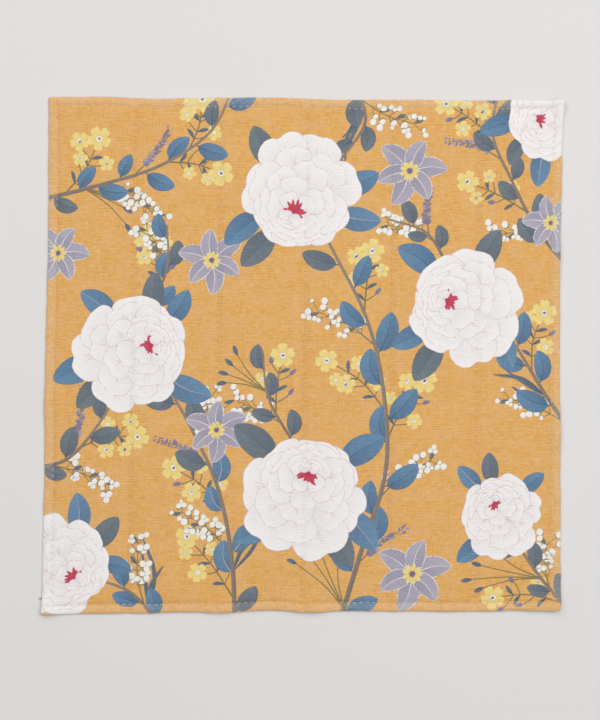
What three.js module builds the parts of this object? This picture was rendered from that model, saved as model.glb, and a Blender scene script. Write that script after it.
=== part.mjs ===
// A square tea towel of layered gauze, lying open and flat.
// Millimetres. X runs across the cloth, Y up its length and Z away from the table that it lies on.
import * as THREE from "three";

// Driving dimensions
const WIDTH = 300;
const LENGTH = 298;
const THICKNESS = 2.2;
const RIM_HEIGHT = 0.8;
const RIM_ROUNDING = 2.0;
const CORNER_RADIUS = 1.8;

// Hem: the edge turned in once and stitched down
const HEM_WIDTH = 5.2;
const HEM_STITCH_DEPTH = 0.7;
const HEM_STITCH_REACH = 1.9;

// Running stitches from top to bottom that hold the layers together
const CHANNEL_COUNT = 6;
const SEAM_DEPTH = 0.9;
const SEAM_REACH = 3.4;

// Loft of the channels between the seams, and how it changes along them
const CHANNEL_CROWN = 0.45;
const CROWN_FADE = 16;
const SWELL_HEIGHT = 0.22;
const SWELL_PITCH = 44;
const SWELL_LEAN = 0.65;

// How far inwards an edge's bow is felt, as a share of the cloth
const EDGE_FADE = 0.18;

// Fineness of the grid
const RIM_LINES = [0, 0.6, 1.4];
const ROW_PITCH = 9.5;
const LINES_PER_CHANNEL = 2;
const FLAT_MARGIN = 24;

// Corners as the cloth lies, measured from its middle
const CORNERS = {
  lowerLeft: { x: -153.0, y: -150.9 },
  lowerRight: { x: 149.0, y: -148.3 },
  upperLeft: { x: -148.6, y: 150.1 },
  upperRight: { x: 151.9, y: 148.4 },
};

// How each edge wanders: a share of the edge, and how far it stands out there from corner to corner
const LEFT_EDGE = [
  { at: 0.0, out: 0.0 },
  { at: 0.05, out: -0.5 },
  { at: 0.16, out: -0.6 },
  { at: 0.28, out: -0.8 },
  { at: 0.41, out: -0.3 },
  { at: 0.56, out: -0.5 },
  { at: 0.72, out: -1.1 },
  { at: 0.93, out: -0.4 },
  { at: 1.0, out: 0.0 },
];
const RIGHT_EDGE = [
  { at: 0.0, out: 0.0 },
  { at: 0.05, out: -0.1 },
  { at: 0.18, out: -0.5 },
  { at: 0.26, out: -1.0 },
  { at: 0.35, out: -1.0 },
  { at: 0.43, out: -1.8 },
  { at: 0.55, out: -2.1 },
  { at: 0.7, out: -2.2 },
  { at: 0.88, out: -1.7 },
  { at: 0.96, out: -1.2 },
  { at: 1.0, out: 0.0 },
];
const LOWER_EDGE = [
  { at: 0.0, out: 0.0 },
  { at: 0.12, out: -0.5 },
  { at: 0.2, out: -0.3 },
  { at: 0.28, out: -0.7 },
  { at: 0.35, out: -0.3 },
  { at: 0.44, out: -1.5 },
  { at: 0.52, out: 0.0 },
  { at: 0.58, out: -0.6 },
  { at: 0.7, out: -0.1 },
  { at: 0.84, out: 0.3 },
  { at: 0.94, out: -0.1 },
  { at: 1.0, out: 0.0 },
];
const UPPER_EDGE = [
  { at: 0.0, out: 0.0 },
  { at: 0.12, out: 0.1 },
  { at: 0.2, out: -0.9 },
  { at: 0.31, out: -0.1 },
  { at: 0.44, out: 0.2 },
  { at: 0.57, out: -0.9 },
  { at: 0.7, out: -0.5 },
  { at: 0.79, out: -0.8 },
  { at: 0.93, out: -0.3 },
  { at: 1.0, out: 0.0 },
];

// Where the hem lifts off the table: a place as shares of the cloth, how far round it is felt, and its rise
const LIFTS = [
  { across: 1.0, along: 0.0, reach: 17, rise: 3.0 },
  { across: 0.0, along: 0.0, reach: 14, rise: 2.2 },
  { across: 1.0, along: 1.0, reach: 15, rise: 1.6 },
  { across: 0.34, along: 0.0, reach: 16, rise: 1.3 },
  { across: 0.51, along: 0.0, reach: 15, rise: 1.7 },
  { across: 0.95, along: 0.0, reach: 14, rise: 1.2 },
  { across: 1.0, along: 0.35, reach: 20, rise: 1.3 },
  { across: 1.0, along: 0.7, reach: 20, rise: 1.0 },
  { across: 0.0, along: 0.41, reach: 18, rise: 0.9 },
];

const channelWidth = WIDTH / CHANNEL_COUNT;
const seamPlaces = Array.from({ length: CHANNEL_COUNT - 1 }, (_, i) => (i + 1) * channelWidth);

const ease = (t) => {
  const held = THREE.MathUtils.clamp(t, 0, 1);
  return held * held * (3 - 2 * held);
};

// A table's value at a share of its edge, eased from row to row
function wander(rows, share) {
  const next = Math.max(1, rows.findIndex((row) => row.at >= share));
  const [low, high] = [rows[next - 1], rows[next]];
  return THREE.MathUtils.lerp(low.out, high.out, ease((share - low.at) / (high.at - low.at)));
}

// Draws a right-angled corner in to a round one
function roundCorner(fromEdge, fromOtherEdge) {
  if (fromEdge >= CORNER_RADIUS || fromOtherEdge >= CORNER_RADIUS) return fromEdge;
  const p = 1 - fromEdge / CORNER_RADIUS;
  const q = 1 - fromOtherEdge / CORNER_RADIUS;
  return CORNER_RADIUS * (1 - p * Math.sqrt(1 - (q * q) / 2));
}

// From a place on the cut square to where it lies on the table
function lay(x, y) {
  const [nearX, nearY] = [Math.min(x, WIDTH - x), Math.min(y, LENGTH - y)];
  const insetX = roundCorner(nearX, nearY);
  const insetY = roundCorner(nearY, nearX);
  const u = (x < WIDTH / 2 ? insetX : WIDTH - insetX) / WIDTH;
  const v = (y < LENGTH / 2 ? insetY : LENGTH - insetY) / LENGTH;
  const { lowerLeft, lowerRight, upperLeft, upperRight } = CORNERS;
  const mix = (key) =>
    THREE.MathUtils.lerp(
      THREE.MathUtils.lerp(lowerLeft[key], lowerRight[key], u),
      THREE.MathUtils.lerp(upperLeft[key], upperRight[key], u),
      v,
    );
  const left = wander(LEFT_EDGE, v) * (1 - ease(u / EDGE_FADE));
  const right = wander(RIGHT_EDGE, v) * (1 - ease((1 - u) / EDGE_FADE));
  const lower = wander(LOWER_EDGE, u) * (1 - ease(v / EDGE_FADE));
  const upper = wander(UPPER_EDGE, u) * (1 - ease((1 - v) / EDGE_FADE));
  return { x: mix("x") - left + right, y: mix("y") - lower + upper };
}

// How far the cloth has lifted off the table
function lift(x, y) {
  return LIFTS.reduce((most, spot) => {
    const away = Math.hypot(x - spot.across * WIDTH, y - spot.along * LENGTH);
    return Math.max(most, spot.rise * (1 - ease(away / spot.reach)));
  }, 0);
}

// Thickness of the cloth: lofty in the channels, drawn in at every seam and rounded at the rim
function thickness(x, y) {
  const fromEdge = Math.min(x, y, WIDTH - x, LENGTH - y);
  const fromSeam = Math.min(...seamPlaces.map((place) => Math.abs(x - place)));
  const inChannel = Math.sin((Math.PI * x) / channelWidth) ** 2;
  const inside = ease((fromEdge - HEM_WIDTH) / CROWN_FADE);
  const swell = SWELL_HEIGHT * Math.sin(2 * Math.PI * (y / SWELL_PITCH + (SWELL_LEAN * x) / channelWidth));
  const seam = SEAM_DEPTH * (1 - ease(fromSeam / SEAM_REACH));
  const hem = HEM_STITCH_DEPTH * (1 - ease(Math.abs(fromEdge - HEM_WIDTH) / HEM_STITCH_REACH));
  const full = THICKNESS + (CHANNEL_CROWN + swell) * inChannel * inside - Math.max(seam, hem);
  const towardsRim = Math.min(1, fromEdge / RIM_ROUNDING);
  return RIM_HEIGHT + (full - RIM_HEIGHT) * Math.sqrt(1 - (1 - towardsRim) ** 2);
}

const sorted = (values) => [...values].sort((a, b) => a - b);

// The hem's own grid lines, from one edge and mirrored from the other
function hemLines(size) {
  const near = [...RIM_LINES, CORNER_RADIUS, HEM_WIDTH, HEM_WIDTH + HEM_STITCH_REACH];
  return [...near, ...near.map((line) => size - line)];
}

// Grid lines across the width: hems, each seam's bottom and brims, and the channels between
function linesAcross() {
  const seams = seamPlaces.flatMap((place) => [place - SEAM_REACH, place, place + SEAM_REACH]);
  const channels = Array.from({ length: CHANNEL_COUNT * LINES_PER_CHANNEL }, (_, i) => {
    const step = (i % LINES_PER_CHANNEL) + 1;
    return (Math.floor(i / LINES_PER_CHANNEL) + step / (LINES_PER_CHANNEL + 1)) * channelWidth;
  });
  return sorted([...hemLines(WIDTH), ...seams, ...channels]);
}

// Grid lines along the length: hems and even rows between
function linesAlong() {
  const start = HEM_WIDTH + HEM_STITCH_REACH;
  const rows = Math.round((LENGTH - 2 * start) / ROW_PITCH);
  const pitch = (LENGTH - 2 * start) / rows;
  const between = Array.from({ length: rows - 1 }, (_, i) => start + (i + 1) * pitch);
  return sorted([...hemLines(LENGTH), ...between]);
}

// One closed sheet: a relief on top, a rim all round, and an underside that is flat but for the lifts
function sheetGeometry() {
  const across = linesAcross();
  const along = linesAlong();
  const [lastColumn, lastRow] = [across.length - 1, along.length - 1];
  const positions = [];
  const triangles = [];
  const placed = new Map();

  const point = (side, i, j) => {
    const key = `${side} ${i} ${j}`;
    if (!placed.has(key)) {
      const [x, y] = [across[i], along[j]];
      const spot = lay(x, y);
      const height = lift(x, y) + (side === "top" ? thickness(x, y) : 0);
      placed.set(key, positions.length / 3);
      positions.push(spot.x, spot.y, height);
    }
    return placed.get(key);
  };
  const quad = (a, b, c, d) => triangles.push(a, b, c, a, c, d);
  const cell = (side, i, j) =>
    [[i, j], [i + 1, j], [i + 1, j + 1], [i, j + 1]].map(([column, row]) => point(side, column, row));

  // The underside follows the grid near its edges, and is a single flat field inside them
  const firstInside = (lines) => lines.findIndex((line) => line >= FLAT_MARGIN);
  const [i0, j0] = [firstInside(across), firstInside(along)];
  const [i1, j1] = [lastColumn - i0, lastRow - j0];
  for (let i = 0; i < lastColumn; i += 1) {
    for (let j = 0; j < lastRow; j += 1) {
      quad(...cell("top", i, j));
      const inside = i >= i0 && i < i1 && j >= j0 && j < j1;
      if (!inside) quad(...cell("under", i, j).reverse());
    }
  }
  const field = ringOf(i0, j0, i1, j1).map(([i, j]) => point("under", i, j));
  const flat = field.map((at) => new THREE.Vector2(positions[3 * at], positions[3 * at + 1]));
  THREE.ShapeUtils.triangulateShape(flat, []).forEach(([a, b, c]) => {
    triangles.push(field[c], field[b], field[a]);
  });

  const rim = ringOf(0, 0, lastColumn, lastRow);
  rim.forEach((here, k) => {
    const next = rim[(k + 1) % rim.length];
    quad(point("under", ...here), point("under", ...next), point("top", ...next), point("top", ...here));
  });

  const geometry = new THREE.BufferGeometry();
  geometry.setAttribute("position", new THREE.Float32BufferAttribute(positions, 3));
  geometry.setIndex(triangles);
  return geometry;
}

// Grid points round a rectangle of the grid, anticlockwise from its lower left
function ringOf(i0, j0, i1, j1) {
  const run = (from, to) => {
    const step = Math.sign(to - from);
    return Array.from({ length: Math.abs(to - from) }, (_, k) => from + step * k);
  };
  return [
    ...run(i0, i1).map((i) => [i, j0]),
    ...run(j0, j1).map((j) => [i1, j]),
    ...run(i1, i0).map((i) => [i, j1]),
    ...run(j1, j0).map((j) => [i0, j]),
  ];
}

// Stands the sheet's box on the origin
function centred(geometry) {
  geometry.computeBoundingBox();
  const middle = geometry.boundingBox.getCenter(new THREE.Vector3());
  geometry.translate(-middle.x, -middle.y, -geometry.boundingBox.min.z);
  geometry.computeVertexNormals();
  return geometry;
}

const gauze = new THREE.MeshStandardMaterial({ color: 0xdda961, roughness: 0.92, metalness: 0 });
const cloth = new THREE.Mesh(centred(sheetGeometry()), gauze);
cloth.name = "cloth";

const towel = new THREE.Group();
towel.add(cloth);

export default towel;
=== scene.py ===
"""A square tea towel of printed gauze that lies open and flat, with its stitching and its stage."""

import functools
import math

import bmesh
import bpy
import numpy as np
from mathutils import Color, Matrix, Vector


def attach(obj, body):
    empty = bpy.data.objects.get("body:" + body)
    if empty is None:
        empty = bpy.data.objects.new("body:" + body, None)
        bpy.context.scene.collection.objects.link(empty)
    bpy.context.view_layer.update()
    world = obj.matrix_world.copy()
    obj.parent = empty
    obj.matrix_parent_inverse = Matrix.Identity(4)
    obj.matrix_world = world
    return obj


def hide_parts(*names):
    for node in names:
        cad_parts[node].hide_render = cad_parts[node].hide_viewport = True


bl_info = {
    "name": "Gauze Tea Towel",
    "version": (1, 0, 0),
    "blender": (4, 5, 0),
    "location": "View3D > Sidebar > Tea Towel",
    "description": "Lays out a printed gauze tea towel, sews it and sets its stage",
    "category": "Object",
}

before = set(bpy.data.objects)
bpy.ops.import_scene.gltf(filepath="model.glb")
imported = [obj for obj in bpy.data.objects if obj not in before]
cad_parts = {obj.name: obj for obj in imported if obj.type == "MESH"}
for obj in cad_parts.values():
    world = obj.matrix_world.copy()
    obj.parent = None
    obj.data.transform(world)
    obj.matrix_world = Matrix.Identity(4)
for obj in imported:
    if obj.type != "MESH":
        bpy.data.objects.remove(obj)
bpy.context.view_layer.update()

# Places and lengths are in millimetres until a mesh is finished
MM = 0.001

# Corners as the cloth lies, measured from its middle
LOWER_LEFT = (-153.0, -150.9)
LOWER_RIGHT = (149.0, -148.3)
UPPER_LEFT = (-148.6, 150.1)
UPPER_RIGHT = (151.9, 148.4)

# How each edge wanders: shares of the edge, and how far it stands out there from corner to corner
LEFT_AT = (0.0, 0.05, 0.16, 0.28, 0.41, 0.56, 0.72, 0.93, 1.0)
LEFT_OUT = (0.0, -0.5, -0.6, -0.8, -0.3, -0.5, -1.1, -0.4, 0.0)
RIGHT_AT = (0.0, 0.05, 0.18, 0.26, 0.35, 0.43, 0.55, 0.7, 0.88, 0.96, 1.0)
RIGHT_OUT = (0.0, -0.1, -0.5, -1.0, -1.0, -1.8, -2.1, -2.2, -1.7, -1.2, 0.0)
LOWER_AT = (0.0, 0.12, 0.2, 0.28, 0.35, 0.44, 0.52, 0.58, 0.7, 0.84, 0.94, 1.0)
LOWER_OUT = (0.0, -0.5, -0.3, -0.7, -0.3, -1.5, 0.0, -0.6, -0.1, 0.3, -0.1, 0.0)
UPPER_AT = (0.0, 0.12, 0.2, 0.31, 0.44, 0.57, 0.7, 0.79, 0.93, 1.0)
UPPER_OUT = (0.0, 0.1, -0.9, -0.1, 0.2, -0.9, -0.5, -0.8, -0.3, 0.0)

# How far inwards an edge's bow is felt, as a share of the cloth
EDGE_FADE = 0.18

# Seeded numbers along each side of a field of noise, past which it repeats
KNOTS = 128

# Where the hem lifts off the table: shares of the cloth, how far round it is felt, and its rise
LIFTS = (
    {"across": 1.0, "along": 0.0, "reach": 17, "rise": 3.0},
    {"across": 0.0, "along": 0.0, "reach": 14, "rise": 2.2},
    {"across": 1.0, "along": 1.0, "reach": 15, "rise": 1.6},
    {"across": 0.34, "along": 0.0, "reach": 16, "rise": 1.3},
    {"across": 0.51, "along": 0.0, "reach": 15, "rise": 1.7},
    {"across": 0.95, "along": 0.0, "reach": 14, "rise": 1.2},
    {"across": 1.0, "along": 0.35, "reach": 20, "rise": 1.3},
    {"across": 1.0, "along": 0.7, "reach": 20, "rise": 1.0},
    {"across": 0.0, "along": 0.41, "reach": 18, "rise": 0.9},
)

# Section of the cloth
RIM_HEIGHT = 0.8
RIM_ROUNDING = 2.0
CORNER_RADIUS = 1.8
HEM_STITCH_DEPTH = 0.7
HEM_STITCH_REACH = 1.9
SEAM_DEPTH = 0.9
SEAM_REACH = 3.4
CHANNEL_CROWN = 0.45
CROWN_FADE = 16
SWELL_HEIGHT = 0.22
SWELL_PITCH = 44
SWELL_LEAN = 0.65

# Fine relief of the top face
PUCKER_HEIGHT = 0.2
PUCKER_REACH = 8.0
CRINKLE_HEIGHT = 0.1
HEM_ROLL_HEIGHT = 0.16
HEM_ROLL_REACH = 4.0
STITCH_DIMPLE = 0.3
DIMPLE_REACH = 0.9

# Waver of a hand-turned edge, its pitches with their seeds, and how far inwards it is felt
EDGE_WAVER = 0.24
EDGE_WAVER_PITCHES = ((11, 7.0), (12, 2.9))
EDGE_WAVER_REACH = 9

# Pitch of the rows and columns that show in the open weave
WEFT_PITCH = 1.5
WARP_PITCH = 1.27

# Grid lines in from an edge, and the pitch of the rest
TOP_RIM_LINES = (0, 0.25, 0.6, 1.0, 1.5, 2.1, 2.8, 3.6, 4.4, 5.2, 6.0, 6.9)
TOP_PITCH = 1.06
UNDER_RIM_LINES = (0, 0.6, 1.4, 2.6, 5.2, 7.1)
UNDER_PITCH = 3.3

# The thread end that stands out of the left edge
LOOSE_END = {"up": 8.9, "length": 2.9, "droop": 0.5, "radius": 0.22, "steps": 9}

# The table lies this far under the cloth, so that no two faces share a plane
TABLE_GAP = 0.03

# The stage in metres and watts: how far the table reaches, the camera's height, and the lights
TABLE_REACH = 4
CAMERA_HEIGHT = 1.4
SKY = {"colour": (1.0, 0.995, 0.99, 1), "strength": 0.45}
LIGHTS = (
    {"name": "overhead", "place": (0.4, 0.25, 1.6), "size": 1.0, "power": 10.4},
    {"name": "window", "place": (-0.8, 1.2, 1.5), "size": 1.1, "power": 9.0},
    {"name": "fill", "place": (0.9, 0.6, 1.6), "size": 1.4, "power": 4.4},
)

# Where the photo's frame has its middle, measured from the cloth's middle, and how high it is there
FRAME_MIDDLE = (-2.47, -2.84)
FRAME_HEIGHT = 417.8

# How many printed shapes can show in one cell of the top grid, and the inside of one that doesn't
LAYERS = 6
FAR_OUT = -9.0

# How far past a line's width its field is worked out, how far out a shape still inks a cell, and
# how far in every corner of a cell must be for the shape to hide what lies under it
FIELD_MARGIN = 1.6
INK_SPREAD = 0.12
HIDING_DEPTH = 0.2

# Where the bake map holds the top face and the underside: lower left corner and size. The
# underside's rim is drawn out a little past the top's edge.
TOP_ON_MAP = ((0.008, 0.008), (0.984, 0.828))
UNDER_ON_MAP = ((0.008, 0.856), (0.984, 0.136))
RIM_ON_MAP = 1.008


def measure(name, description, default):
    """A length property, in metres."""
    return bpy.props.FloatProperty(
        name=name, description=description, default=default, unit="LENGTH", precision=5
    )


class TowelSizes(bpy.types.PropertyGroup):
    width: measure("Width", "Cut width of the cloth after hemming", 0.300)
    length: measure("Length", "Cut length of the cloth after hemming", 0.298)
    thickness: measure("Thickness", "Thickness of all layers together", 0.0022)
    hem: measure("Hem", "Distance of the hem stitching from the edge", 0.0052)
    channels: bpy.props.IntProperty(
        name="Channels",
        description="Number of channels that the seams part the cloth into",
        default=6,
    )
    stitch_pitch: measure("Stitch Pitch", "Distance from one stitch to the next", 0.0037)
    stitch_length: measure("Stitch Length", "Length of thread that shows in one stitch", 0.0024)
    thread_width: measure("Thread Width", "Width of the sewing thread", 0.00042)


def tint(name, description, red, green, blue):
    """A colour property with an sRGB default, given from 0 to 255."""
    return bpy.props.FloatVectorProperty(
        name=name,
        description=description,
        subtype="COLOR_GAMMA",
        size=3,
        min=0,
        max=1,
        default=(red / 255, green / 255, blue / 255),
    )


class TowelColours(bpy.types.PropertyGroup):
    ground: tint("Ground", "Mustard ground of the print", 229, 179, 106)
    # The darker ground is painted shade: the ground as it darkens in the hollows between the threads
    ground_shaded: tint("Ground Deep", "Ground between the threads", 217, 160, 86)
    ground_dull: tint("Ground Dull", "Duller patches of the ground", 226, 178, 122)
    back: tint("Back", "Unprinted layers underneath", 232, 226, 214)
    petal: tint("Petal", "White petals at their tips", 246, 243, 241)
    petal_shade: tint("Petal Shade", "White petals at their bases", 224, 219, 221)
    petal_line: tint("Petal Line", "Fine outlines of white petals", 208, 170, 172)
    crimson: tint("Crimson", "Hearts of the white blooms", 208, 84, 100)
    crimson_deep: tint("Crimson Deep", "Folds in the crimson hearts", 180, 58, 84)
    leaf: tint("Leaf", "Light side of blue leaves", 107, 144, 174)
    leaf_deep: tint("Leaf Deep", "Shaded side of blue leaves", 88, 113, 141)
    slate: tint("Slate", "Light side of slate leaves", 118, 128, 134)
    slate_deep: tint("Slate Deep", "Shaded side of slate leaves", 98, 106, 116)
    leaf_line: tint("Leaf Line", "Ribs and edges of leaves", 78, 94, 116)
    stem: tint("Stem", "Taupe branches", 156, 140, 124)
    stem_deep: tint("Stem Deep", "Shaded side of branches", 128, 114, 106)
    olive: tint("Olive", "Thin twigs", 138, 124, 88)
    mauve: tint("Mauve", "Mauve petals at their tips", 180, 173, 186)
    mauve_deep: tint("Mauve Deep", "Mauve petals at their bases", 142, 138, 162)
    mauve_dark: tint("Mauve Dark", "Eyes and buds", 130, 108, 126)
    yellow: tint("Yellow", "Yellow petals at their tips", 239, 221, 150)
    yellow_deep: tint("Yellow Deep", "Yellow petals at their bases", 230, 202, 118)
    cream: tint("Cream", "Rings, berries and pale outlines", 240, 236, 226)
    thread: tint("Thread", "Sewing thread", 236, 214, 174)
    loose_thread: tint("Loose Thread", "Thread end at the left edge", 62, 76, 118)
    table: tint("Table", "Surface that the cloth lies on", 224, 222, 221)


# Each ink's colours at the base, at the tip and of its lines, with the widths of its outline and
# midrib in millimetres and the strength of its streaks
INKS = {
    "white petal": ("petal_shade", "petal", "petal_line", 0.2, 0.0, 0.06),
    "white fold": ("petal_line", "petal_line", "petal_line", 0.0, 0.0, 0.0),
    "crimson petal": ("crimson_deep", "crimson", "crimson_deep", 0.1, 0.0, 0.3),
    "blue leaf": ("leaf_deep", "leaf", "leaf_line", 0.14, 0.2, 0.14),
    "pale-ribbed leaf": ("leaf_deep", "leaf", "mauve", 0.0, 0.24, 0.1),
    "slate leaf": ("slate_deep", "slate", "leaf_line", 0.12, 0.18, 0.12),
    "branch": ("stem_deep", "stem", "stem_deep", 0.2, 0.0, 0.25),
    "twig": ("olive", "olive", "stem_deep", 0.0, 0.0, 0.0),
    "mauve petal": ("mauve_deep", "mauve", "cream", 0.34, 0.2, 0.16),
    "mauve bud": ("mauve_dark", "mauve_deep", "mauve_deep", 0.1, 0.0, 0.2),
    "pale bud": ("mauve_deep", "mauve", "mauve_dark", 0.08, 0.0, 0.2),
    "yellow petal": ("yellow_deep", "yellow", "yellow_deep", 0.1, 0.0, 0.3),
    "cream dot": ("cream", "cream", "mauve", 0.12, 0.0, 0.0),
    "dark eye": ("mauve_dark", "mauve_dark", "mauve_dark", 0.0, 0.0, 0.0),
}

# White blooms seen from the front, and the headings of the leaves that look out from under them
ROSETTES = (
    {"x": 146, "y": 240, "size": 34, "turn": 10, "faces": 250, "leaves": (205, 232, 338, 12, 128)},
    {"x": 54, "y": 152, "size": 33, "turn": 40, "faces": 20, "leaves": (196, 222, 318, 44, 74, 128)},
    {"x": 240, "y": 178, "size": 33, "turn": 75, "faces": 160, "leaves": (214, 240, 320, 128, 64)},
    {"x": 152, "y": 72, "size": 35, "turn": 25, "faces": 80, "leaves": (222, 300, 326, 36, 136)},
    {"x": 13, "y": 26, "size": 29, "turn": 60, "faces": 320, "leaves": (8, 40, 72)},
    {"x": 291, "y": 288, "size": 27, "turn": 5, "faces": 200, "leaves": (188, 222, 262)},
    {"x": 264, "y": 58, "size": 24, "turn": 50, "faces": 120, "leaves": (42, 104, 132, 236)},
)

# Whorls of a bloom from the outermost in: petals, and shares of its size
WHORLS = (
    {"petals": 7, "out": 0.62, "long": 0.38, "wide": 0.42},
    {"petals": 7, "out": 0.5, "long": 0.33, "wide": 0.33},
    {"petals": 6, "out": 0.36, "long": 0.28, "wide": 0.29},
    {"petals": 5, "out": 0.25, "long": 0.22, "wide": 0.22},
    {"petals": 4, "out": 0.15, "long": 0.16, "wide": 0.15},
)

# How each whorl is turned on from the one outside it, in degrees, and how far it moves to the
# side that the bloom faces, as a share of its size
WHORL_TURN = 27
WHORL_SHIFT = 0.06

# The outer whorls have fine folds, at these turns from each petal's heading
FOLDED_WHORLS = 3
FOLD_TURNS = (-13, 4, 15)

# The crimson tuft and the small petals round its foot, and the turns of the white ones over it
TUFT_PETALS = 9
TUFT_FAN = 26
FOOT_PETALS = 4
CURLED_TURNS = (-38, 34)

# Mauve stars of six pointed petals
STARS = (
    {"x": 210, "y": 256, "size": 22, "turn": 12},
    {"x": 96, "y": 204, "size": 20, "turn": 40},
    {"x": 214, "y": 22, "size": 23, "turn": 20},
    {"x": 6, "y": 208, "size": 19, "turn": 5},
    {"x": 100, "y": 106, "size": 19, "turn": 33},
    {"x": 294, "y": 226, "size": 18, "turn": 50},
)

# The two rings of three petals in a star, as shares of its size, and its eye of small petals
STAR_RINGS = ({"long": 1.0, "wide": 0.31}, {"long": 0.9, "wide": 0.28})
EYE_PETALS = 9

# A yellow blossom: its petals, and shares of its size
BLOSSOM = {"petals": 5, "out": 0.56, "long": 0.5, "wide": 0.36, "ring": 0.26}

# Shares of a blossom twig that side twigs leave it at, and how many of them end in buds
SIDE_TWIGS = (0.24, 0.42, 0.58, 0.7)
BUD_SHARE = 0.34

# Leafy branches: the points that they pass, their leaves, and their side sprays, which are given
# by the share of the branch that they leave it at, the side, the kind and the length
BRANCHES = (
    {
        "points": ((172, -8), (184, 34), (198, 82), (196, 130), (186, 170), (168, 206), (154, 232)),
        "width": 1.5,
        "leaf": "blue leaf",
        "leaf_length": 24,
        "leaf_width": 6.2,
        "spacing": 19,
        "spread": 48,
        "sprays": (
            (0.04, 1, "stems", 44),
            (0.14, -1, "buds", 34),
            (0.3, -1, "berries", 36),
            (0.44, -1, "blossoms", 40),
            (0.5, 1, "blossoms", 46),
            (0.66, 1, "berries", 38),
            (0.74, -1, "blossoms", 36),
        ),
    },
    {
        "points": ((112, -8), (110, 30), (102, 70), (86, 106), (66, 140)),
        "width": 1.4,
        "leaf": "pale-ribbed leaf",
        "leaf_length": 22,
        "leaf_width": 6.4,
        "spacing": 18,
        "spread": 50,
        "sprays": (
            (0.1, 1, "blossoms", 46),
            (0.26, 1, "berries", 38),
            (0.42, 1, "blossoms", 40),
            (0.2, -1, "grass", 40),
            (0.6, 1, "buds", 34),
            (0.66, -1, "berries", 30),
        ),
    },
    {
        "points": ((-8, 238), (26, 246), (64, 258), (94, 278), (108, 306)),
        "width": 1.2,
        "leaf": "blue leaf",
        "leaf_length": 20,
        "leaf_width": 5.4,
        "spacing": 15,
        "spread": 50,
        "sprays": (
            (0.12, 1, "blossoms", 38),
            (0.2, -1, "stems", 34),
            (0.3, -1, "berries", 34),
            (0.42, 1, "buds", 34),
            (0.56, -1, "blossoms", 32),
            (0.66, 1, "blossoms", 30),
        ),
    },
    {
        "points": ((308, 100), (290, 128), (272, 156), (256, 174)),
        "width": 1.3,
        "leaf": "blue leaf",
        "leaf_length": 22,
        "leaf_width": 6.0,
        "spacing": 14,
        "spread": 50,
        "sprays": (
            (0.12, 1, "berries", 34),
            (0.3, 1, "grass", 36),
            (0.5, -1, "blossoms", 36),
        ),
    },
    {
        "points": ((308, 196), (286, 222), (270, 250), (258, 278), (262, 308)),
        "width": 1.2,
        "leaf": "slate leaf",
        "leaf_length": 20,
        "leaf_width": 5.6,
        "spacing": 15,
        "spread": 46,
        "sprays": (
            (0.2, 1, "berries", 30),
            (0.36, 1, "blossoms", 40),
            (0.62, 1, "buds", 34),
            (0.74, 1, "blossoms", 34),
        ),
    },
    {
        "points": ((308, -4), (286, 22), (268, 50)),
        "width": 1.2,
        "leaf": "slate leaf",
        "leaf_length": 19,
        "leaf_width": 5.2,
        "spacing": 14,
        "spread": 50,
        "sprays": ((0.15, 1, "blossoms", 40), (0.3, -1, "berries", 26), (0.42, 1, "stems", 40)),
    },
    {
        "points": ((-8, 84), (14, 90), (32, 110), (46, 134)),
        "width": 1.1,
        "leaf": "slate leaf",
        "leaf_length": 19,
        "leaf_width": 5.4,
        "spacing": 14,
        "spread": 52,
        "sprays": (
            (0.15, -1, "berries", 34),
            (0.3, 1, "buds", 40),
            (0.42, -1, "blossoms", 34),
        ),
    },
    {
        "points": ((70, -8), (52, 12), (26, 22)),
        "width": 1.1,
        "leaf": "blue leaf",
        "leaf_length": 18,
        "leaf_width": 5.0,
        "spacing": 13,
        "spread": 46,
        "sprays": ((0.2, -1, "grass", 44), (0.3, -1, "berries", 36)),
    },
    {
        "points": ((178, 306), (184, 286), (174, 268), (158, 250)),
        "width": 1.1,
        "leaf": "slate leaf",
        "leaf_length": 18,
        "leaf_width": 5.2,
        "spacing": 13,
        "spread": 50,
        "sprays": ((0.1, 1, "berries", 34), (0.2, -1, "grass", 34)),
    },
    {
        "points": ((146, 96), (130, 124), (126, 152)),
        "width": 0.9,
        "leaf": "slate leaf",
        "leaf_length": 17,
        "leaf_width": 4.8,
        "spacing": 13,
        "spread": 50,
        "sprays": ((0.25, 1, "berries", 30), (0.36, -1, "blossoms", 34), (0.6, 1, "stems", 28)),
    },
    {
        "points": ((58, 174), (70, 198), (70, 224)),
        "width": 0.9,
        "leaf": "blue leaf",
        "leaf_length": 16,
        "leaf_width": 4.6,
        "spacing": 12,
        "spread": 48,
        "sprays": ((0.25, 1, "blossoms", 32), (0.5, 1, "berries", 26)),
    },
    {
        "points": ((232, 202), (220, 220), (198, 228)),
        "width": 0.9,
        "leaf": "slate leaf",
        "leaf_length": 16,
        "leaf_width": 4.6,
        "spacing": 12,
        "spread": 50,
        "sprays": ((0.3, 1, "berries", 28), (0.4, -1, "buds", 26)),
    },
)


def ease(t):
    """Rises from 0 to 1 with level ends."""
    held = np.clip(t, 0, 1)
    return held * held * (3 - 2 * held)


def wander(at, out, share):
    """How far an edge stands out at each share of it, eased from place to place."""
    at = np.array(at)
    out = np.array(out)
    high = np.clip(np.searchsorted(at, share), 1, len(at) - 1)
    step = (share - at[high - 1]) / (at[high] - at[high - 1])
    return out[high - 1] + (out[high] - out[high - 1]) * ease(step)


@functools.cache
def chance_heights(seed):
    """A square field of seeded numbers from -1 to 1."""
    return np.random.default_rng(seed).uniform(-1, 1, (KNOTS, KNOTS))


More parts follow.
